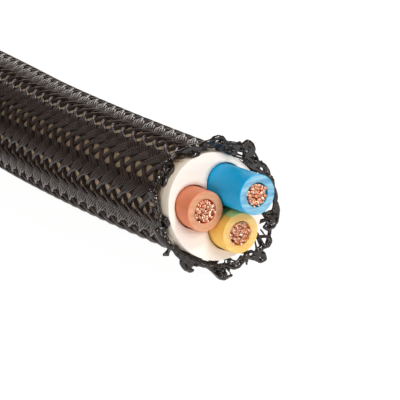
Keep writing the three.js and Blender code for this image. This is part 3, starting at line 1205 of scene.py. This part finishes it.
# The melted ropes and clumps, traced as the camera sees them in its frame enlarged 9.2 times:
# right and down from the enlargement's corner, and the rope's radius, all in enlarged pixels
ENLARGEMENT = 9.2
FACE_SEEN = (604, 796)  # the middle of the jacket's face there
JACKET_SKIN = 4.7  # millimetres from the centre line to the jacket's outside
SLIDE = 0.05  # millimetres at a time, along the line of sight
ROUND_STEPS = 460  # beads in each thin rope round the whole edge
PLUMP = 1.2  # a bead against the rope's radius as traced
ROPES = (
    # the curl that droops over the jacket's upper left edge
    ((485, 228, 20), (450, 250, 22), (400, 240, 20), (335, 262, 18), (285, 285, 16), (335, 318, 22),
     (395, 332, 24), (440, 308, 24), (465, 262, 20), (490, 225, 18)),
    ((340, 300, 16), (375, 285, 18), (420, 280, 18), (445, 270, 16)),
    # along the top
    ((480, 222, 18), (525, 205, 20), (565, 195, 22), (592, 170, 22), (628, 160, 22), (665, 168, 22),
     (686, 198, 20), (672, 226, 20), (636, 232, 20), (600, 222, 18)),
    ((540, 222, 16), (600, 240, 16), (650, 262, 18), (700, 285, 22), (745, 300, 24), (785, 290, 22),
     (802, 262, 20), (815, 225, 16), (828, 198, 12)),
    ((700, 245, 16), (735, 240, 20), (770, 250, 22), (800, 232, 18)),
    ((690, 215, 12), (700, 240, 14), (715, 265, 16)),
    # beside and below the window
    ((800, 272, 12), (835, 275, 12), (862, 290, 16)),
    ((775, 318, 8), (812, 340, 8), (850, 362, 10)),
    # the big clump and the band down to the blue core
    ((868, 262, 22), (868, 225, 24), (895, 205, 26), (930, 222, 26), (950, 262, 24), (932, 312, 22),
     (900, 345, 20), (868, 330, 20), (885, 292, 22)),
    ((900, 240, 24), (915, 275, 26), (905, 315, 22)),
    ((862, 345, 16), (890, 378, 22), (920, 402, 22), (950, 432, 20), (992, 450, 18), (1035, 480, 16)),
    ((900, 330, 22), (935, 362, 24), (958, 398, 22), (1000, 408, 22), (1045, 412, 22), (1068, 442, 22),
     (1062, 475, 18)),
    ((1040, 488, 14), (1072, 500, 20), (1102, 525, 26), (1122, 562, 28), (1132, 604, 22), (1140, 650, 14)),
    # beside the blue core and its looped clump
    ((1150, 730, 16), (1168, 772, 22), (1182, 822, 22), (1178, 880, 20), (1168, 932, 22), (1138, 978, 24),
     (1092, 1002, 22), (1055, 985, 18)),
    ((1080, 850, 14), (1120, 842, 18), (1160, 838, 20)),
    ((1068, 880, 14), (1102, 872, 16), (1130, 898, 16), (1118, 935, 18), (1082, 955, 18), (1060, 990, 16)),
    ((1150, 860, 12), (1140, 905, 14), (1128, 950, 18)),
    # strings across the gap at the lower right
    ((1020, 1008, 11), (1058, 1058, 10), (1092, 1102, 12)),
    ((992, 1038, 11), (1022, 1092, 10), (1048, 1146, 12)),
    ((962, 1090, 11), (976, 1148, 10), (985, 1195, 12)),
    ((1085, 1085, 14), (1112, 1098, 18), (1118, 1122, 16), (1098, 1160, 18), (1062, 1172, 18)),
    # lower right
    ((1080, 1160, 20), (1030, 1175, 24), (992, 1205, 24), (1000, 1242, 22), (1046, 1238, 24),
     (1058, 1280, 24), (1022, 1305, 20), (975, 1282, 20), (930, 1272, 20), (890, 1262, 20)),
    ((925, 1205, 14), (960, 1225, 16), (1000, 1270, 20)),
    ((905, 1235, 16), (875, 1262, 22), (850, 1300, 24), (812, 1345, 24), (770, 1362, 20), (728, 1348, 18),
     (680, 1335, 18), (630, 1345, 20), (575, 1340, 20), (520, 1345, 22), (465, 1330, 20)),
    ((840, 1262, 16), (820, 1300, 18), (780, 1322, 16), (740, 1330, 14)),
    # strings and the clump at the bottom
    ((688, 1284, 10), (690, 1310, 9), (688, 1330, 11)),
    ((712, 1284, 10), (716, 1308, 9), (714, 1335, 11)),
    ((734, 1284, 10), (736, 1310, 9), (738, 1345, 11)),
    ((690, 1345, 9), (694, 1380, 9), (688, 1410, 11)),
    ((728, 1352, 8), (730, 1390, 8), (745, 1425, 10)),
    ((520, 1345, 18), (562, 1372, 20), (600, 1402, 24), (640, 1440, 26), (688, 1456, 20), (730, 1440, 16),
     (760, 1428, 12)),
    ((590, 1372, 14), (630, 1378, 18), (672, 1400, 22), (700, 1425, 20)),
    # lower left
    ((470, 1322, 20), (420, 1312, 20), (372, 1290, 20), (330, 1255, 22), (285, 1238, 22), (248, 1205, 22),
     (205, 1172, 22), (158, 1145, 22), (118, 1112, 22), (82, 1068, 20), (58, 1015, 20)),
    ((300, 1262, 20), (292, 1312, 22), (322, 1360, 24), (368, 1385, 22), (402, 1382, 14)),
    ((320, 1290, 18), (352, 1330, 20), (385, 1350, 14)),
    ((180, 1180, 16), (165, 1212, 18), (128, 1238, 14), (175, 1240, 14)),
    # left
    ((58, 1015, 18), (92, 1000, 20), (140, 992, 22), (165, 955, 22), (148, 912, 22), (105, 888, 20),
     (80, 848, 20), (66, 800, 20), (52, 750, 20), (24, 700, 20), (5, 655, 20)),
    ((100, 960, 18), (125, 935, 20), (110, 905, 18)),
    # the clump with bubbles at the upper left
    ((118, 610, 14), (140, 582, 18), (148, 540, 20), (172, 502, 20), (204, 470, 20), (206, 425, 20),
     (178, 392, 20), (140, 405, 18), (118, 442, 18), (112, 490, 18), (104, 545, 18), (112, 600, 16)),
    ((150, 430, 20), (165, 460, 20), (140, 495, 20)),
    ((178, 385, 12), (220, 350, 12), (262, 318, 14), (295, 292, 14)),
)


def edge_at(clock):
    """The melted edge at a clock angle: from the centre line, and back from the face, in millimetres."""
    turned = (clock - 90) % 360 + 90
    for (a, *here), (b, *there) in zip(EDGE, EDGE[1:]):
        if a <= turned <= b:
            share = (turned - a) / (b - a)
            return [x + (y - x) * share for x, y in zip(here, there)]
    return list(EDGE[0][1:])


def seen_at(x, y, thick):
    """Clock angle, radius and back, in degrees and millimetres, of a spot on the edge seen at x, y."""
    view = bpy.context.scene.studio_settings
    psi, e = view.view_angle, view.elevation
    right = (x - FACE_SEEN[0]) / ENLARGEMENT * PIXEL / MM
    up = (FACE_SEEN[1] - y) / ENLARGEMENT * PIXEL / MM
    half = thick / ENLARGEMENT * PIXEL / MM

    def across(back):
        side = (right + math.sin(psi) * back) / math.cos(psi)
        height = up - math.sin(psi) * math.sin(e) * side - math.cos(psi) * math.sin(e) * back
        return side, height / math.cos(e)

    back = 0.0
    for _ in range(6):
        side, height = across(back)
        clock = math.degrees(math.atan2(height, side))
        back = edge_at(clock)[1]
    # What would lie inside the jacket slides nearer along the line of sight, until it is outside or ahead
    outside = JACKET_SKIN + 0.7 * half
    ahead = -half - 0.1
    while math.hypot(side, height) < outside and back > ahead - FACE_LEAN_Z * height - FACE_LEAN_Y * side:
        back -= SLIDE
        side, height = across(back)
    return math.degrees(math.atan2(height, side)), math.hypot(side, height), back


class SLEEVE_OT_melted_edge(bpy.types.Operator):
    """Melted ropes and clumps where the sleeve was cut hot"""

    bl_idname = "sleeve.melted_edge"
    bl_label = "Melted edge"

    def execute(self, context):
        draw = random.Random(11)
        towards = -view_axes()[2]
        beads = []

        def bead(clock, radius, back, size):
            angle = math.radians(clock)
            y, z = radius * math.cos(angle), radius * math.sin(angle)
            point = ROUTE.place(back * MM, y * MM, z * MM)
            # What would hang below the floor lies on it instead, nearer on the same line of sight
            below = max(0.0, size * 0.9 * MM - point.z)
            point += towards * (below / towards.z)
            beads.append((point, size * MM))

        # Two thin molten ropes wind about one another all along the edge
        for _ in range(2):
            phase = draw.uniform(0, FULL_TURN)
            thick = 0.13
            for step in range(ROUND_STEPS):
                clock = 90 + 360 * step / ROUND_STEPS
                radius, back = edge_at(clock)
                phase += draw.gauss(0.12, 0.16)
                thick = min(0.18, max(0.1, thick + draw.gauss(0, 0.012)))
                bead(clock, radius + 0.12 * math.cos(phase), back + 0.15 * math.sin(phase), thick)
        for rope in ROPES:
            for here, there in zip(rope, rope[1:]):
                steps = max(2, round(math.dist(here[:2], there[:2]) / 5))
                for i in range(steps):
                    x, y, thick = (a + (b - a) * i / steps for a, b in zip(here, there))
                    size = thick * PLUMP * PIXEL / MM / ENLARGEMENT * draw.uniform(0.85, 1.1)
                    bead(*seen_at(x, y, thick), size)
        cloud = bpy.data.meshes.new("beads")
        cloud.from_pydata([tuple(point) for point, _ in beads], [], [])
        mark(cloud, "size", [size for _, size in beads])
        mesh = grow(melt_tree(), {"Material": melted_polyester()}, cloud)
        settle("melted_edge", largest_part(mesh))
        return {"FINISHED"}


class SLEEVE_OT_lay(bpy.types.Operator):
    """Samples the cable's centre line, finer on the tail than on the coil, and removes the route curve"""

    bl_idname = "sleeve.lay"
    bl_label = "Lay the cable"

    def execute(self, context):
        fine, coarse, tail_end = 4 * MM, 10 * MM, 80 * MM
        path = [ROUTE.place(0.0)]
        s = fine
        while s < ROUTE.end:
            path.append(ROUTE.place(s))
            s += fine if s < tail_end else coarse
        path.append(ROUTE.place(ROUTE.end))
        tuple(ROUTE.place(0.0))
        bpy.data.objects.remove(bpy.data.objects["route"])
        return {"FINISHED"}


class SLEEVE_PT_pieces(bpy.types.Panel):
    """The pieces, in the order they are made"""

    bl_label = "Sleeve"
    bl_idname = "SLEEVE_PT_pieces"
    bl_space_type = "VIEW_3D"
    bl_region_type = "UI"
    bl_category = "Sleeve"

    def draw(self, context):
        for operator in OPERATORS:
            self.layout.operator(operator.bl_idname)


OPERATORS = (
    SLEEVE_OT_studio,
    SLEEVE_OT_jacket,
    SLEEVE_OT_cores,
    SLEEVE_OT_conductors,
    SLEEVE_OT_braid,
    SLEEVE_OT_melted_edge,
    SLEEVE_OT_lay,
)
SETTINGS = (
    ("cable_sizes", CableSizes),
    ("braid_sizes", BraidSizes),
    ("sleeve_colours", Colours),
    ("studio_settings", StudioSettings),
)


def register():
    for name, group in SETTINGS:
        bpy.utils.register_class(group)
        setattr(bpy.types.Scene, name, bpy.props.PointerProperty(type=group))
    for operator in OPERATORS:
        bpy.utils.register_class(operator)
    bpy.utils.register_class(SLEEVE_PT_pieces)


def unregister():
    bpy.utils.unregister_class(SLEEVE_PT_pieces)
    for operator in reversed(OPERATORS):
        bpy.utils.unregister_class(operator)
    for name, group in reversed(SETTINGS):
        delattr(bpy.types.Scene, name)
        bpy.utils.unregister_class(group)


def main():
    register()
    route_curve()
    bpy.ops.sleeve.studio()
    bpy.ops.sleeve.jacket()
    bpy.ops.sleeve.cores()
    bpy.ops.sleeve.conductors()
    bpy.ops.sleeve.braid()
    bpy.ops.sleeve.melted_edge()
    bpy.ops.sleeve.lay()


if __name__ == "__main__":
    main()
